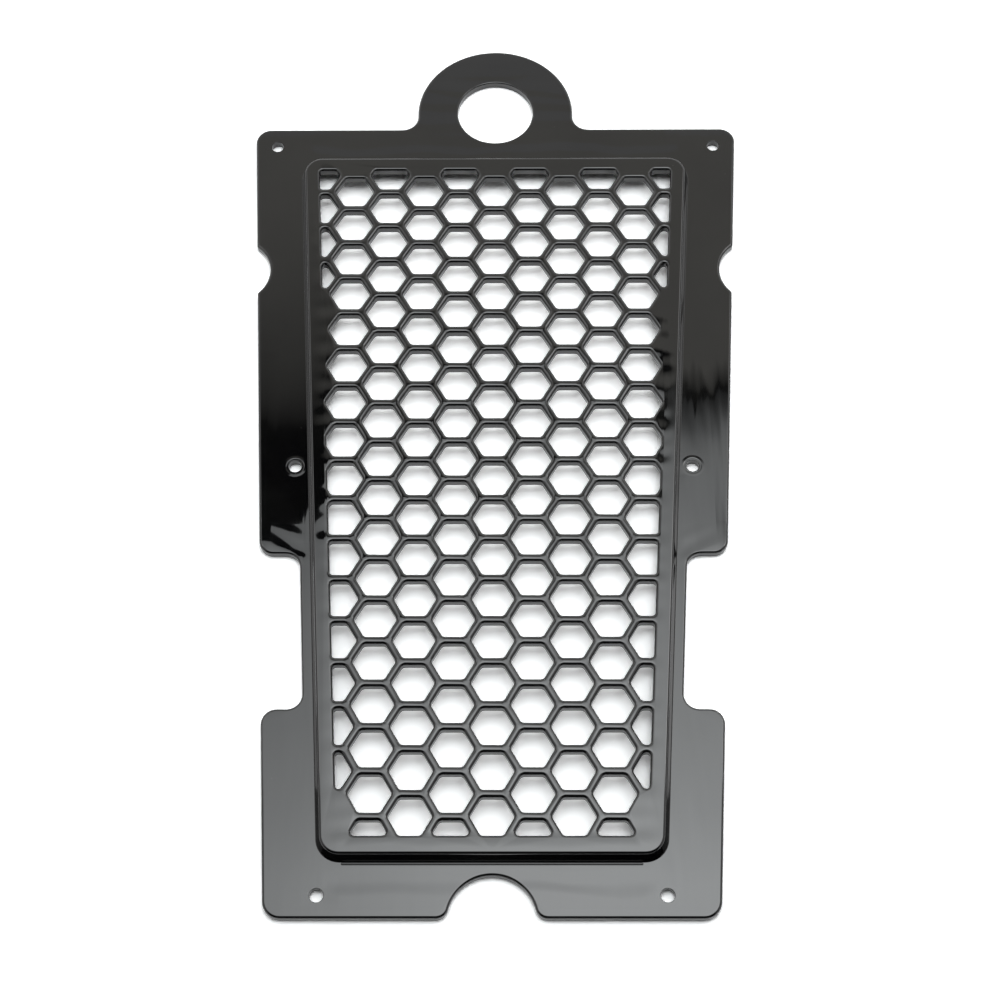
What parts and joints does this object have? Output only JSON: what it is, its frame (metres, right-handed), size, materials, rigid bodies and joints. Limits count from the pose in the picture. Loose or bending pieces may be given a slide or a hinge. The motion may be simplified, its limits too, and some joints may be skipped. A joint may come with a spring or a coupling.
{
  "type": "motorcycle radiator guard",
  "caption": "Moulded black plastic radiator guard: tapered flange with an eared top, a raised honeycomb panel, screw holes, side cut-outs and a notched foot.",
  "frame": {"origin": "under the middle of the whole outline, on the plane of the back face", "axes": "+X across the guard, +Y from the notched foot to the ear, +Z out of the front face; the guard lies on its back"},
  "size_m": [0.1816, 0.341, 0.0078],
  "materials": {
    "guard_plastic": "smooth glossy black, as moulded"
  },
  "bodies": {
    "root": {"radiator_guard": "guard_plastic"}
  },
  "joints": []
}
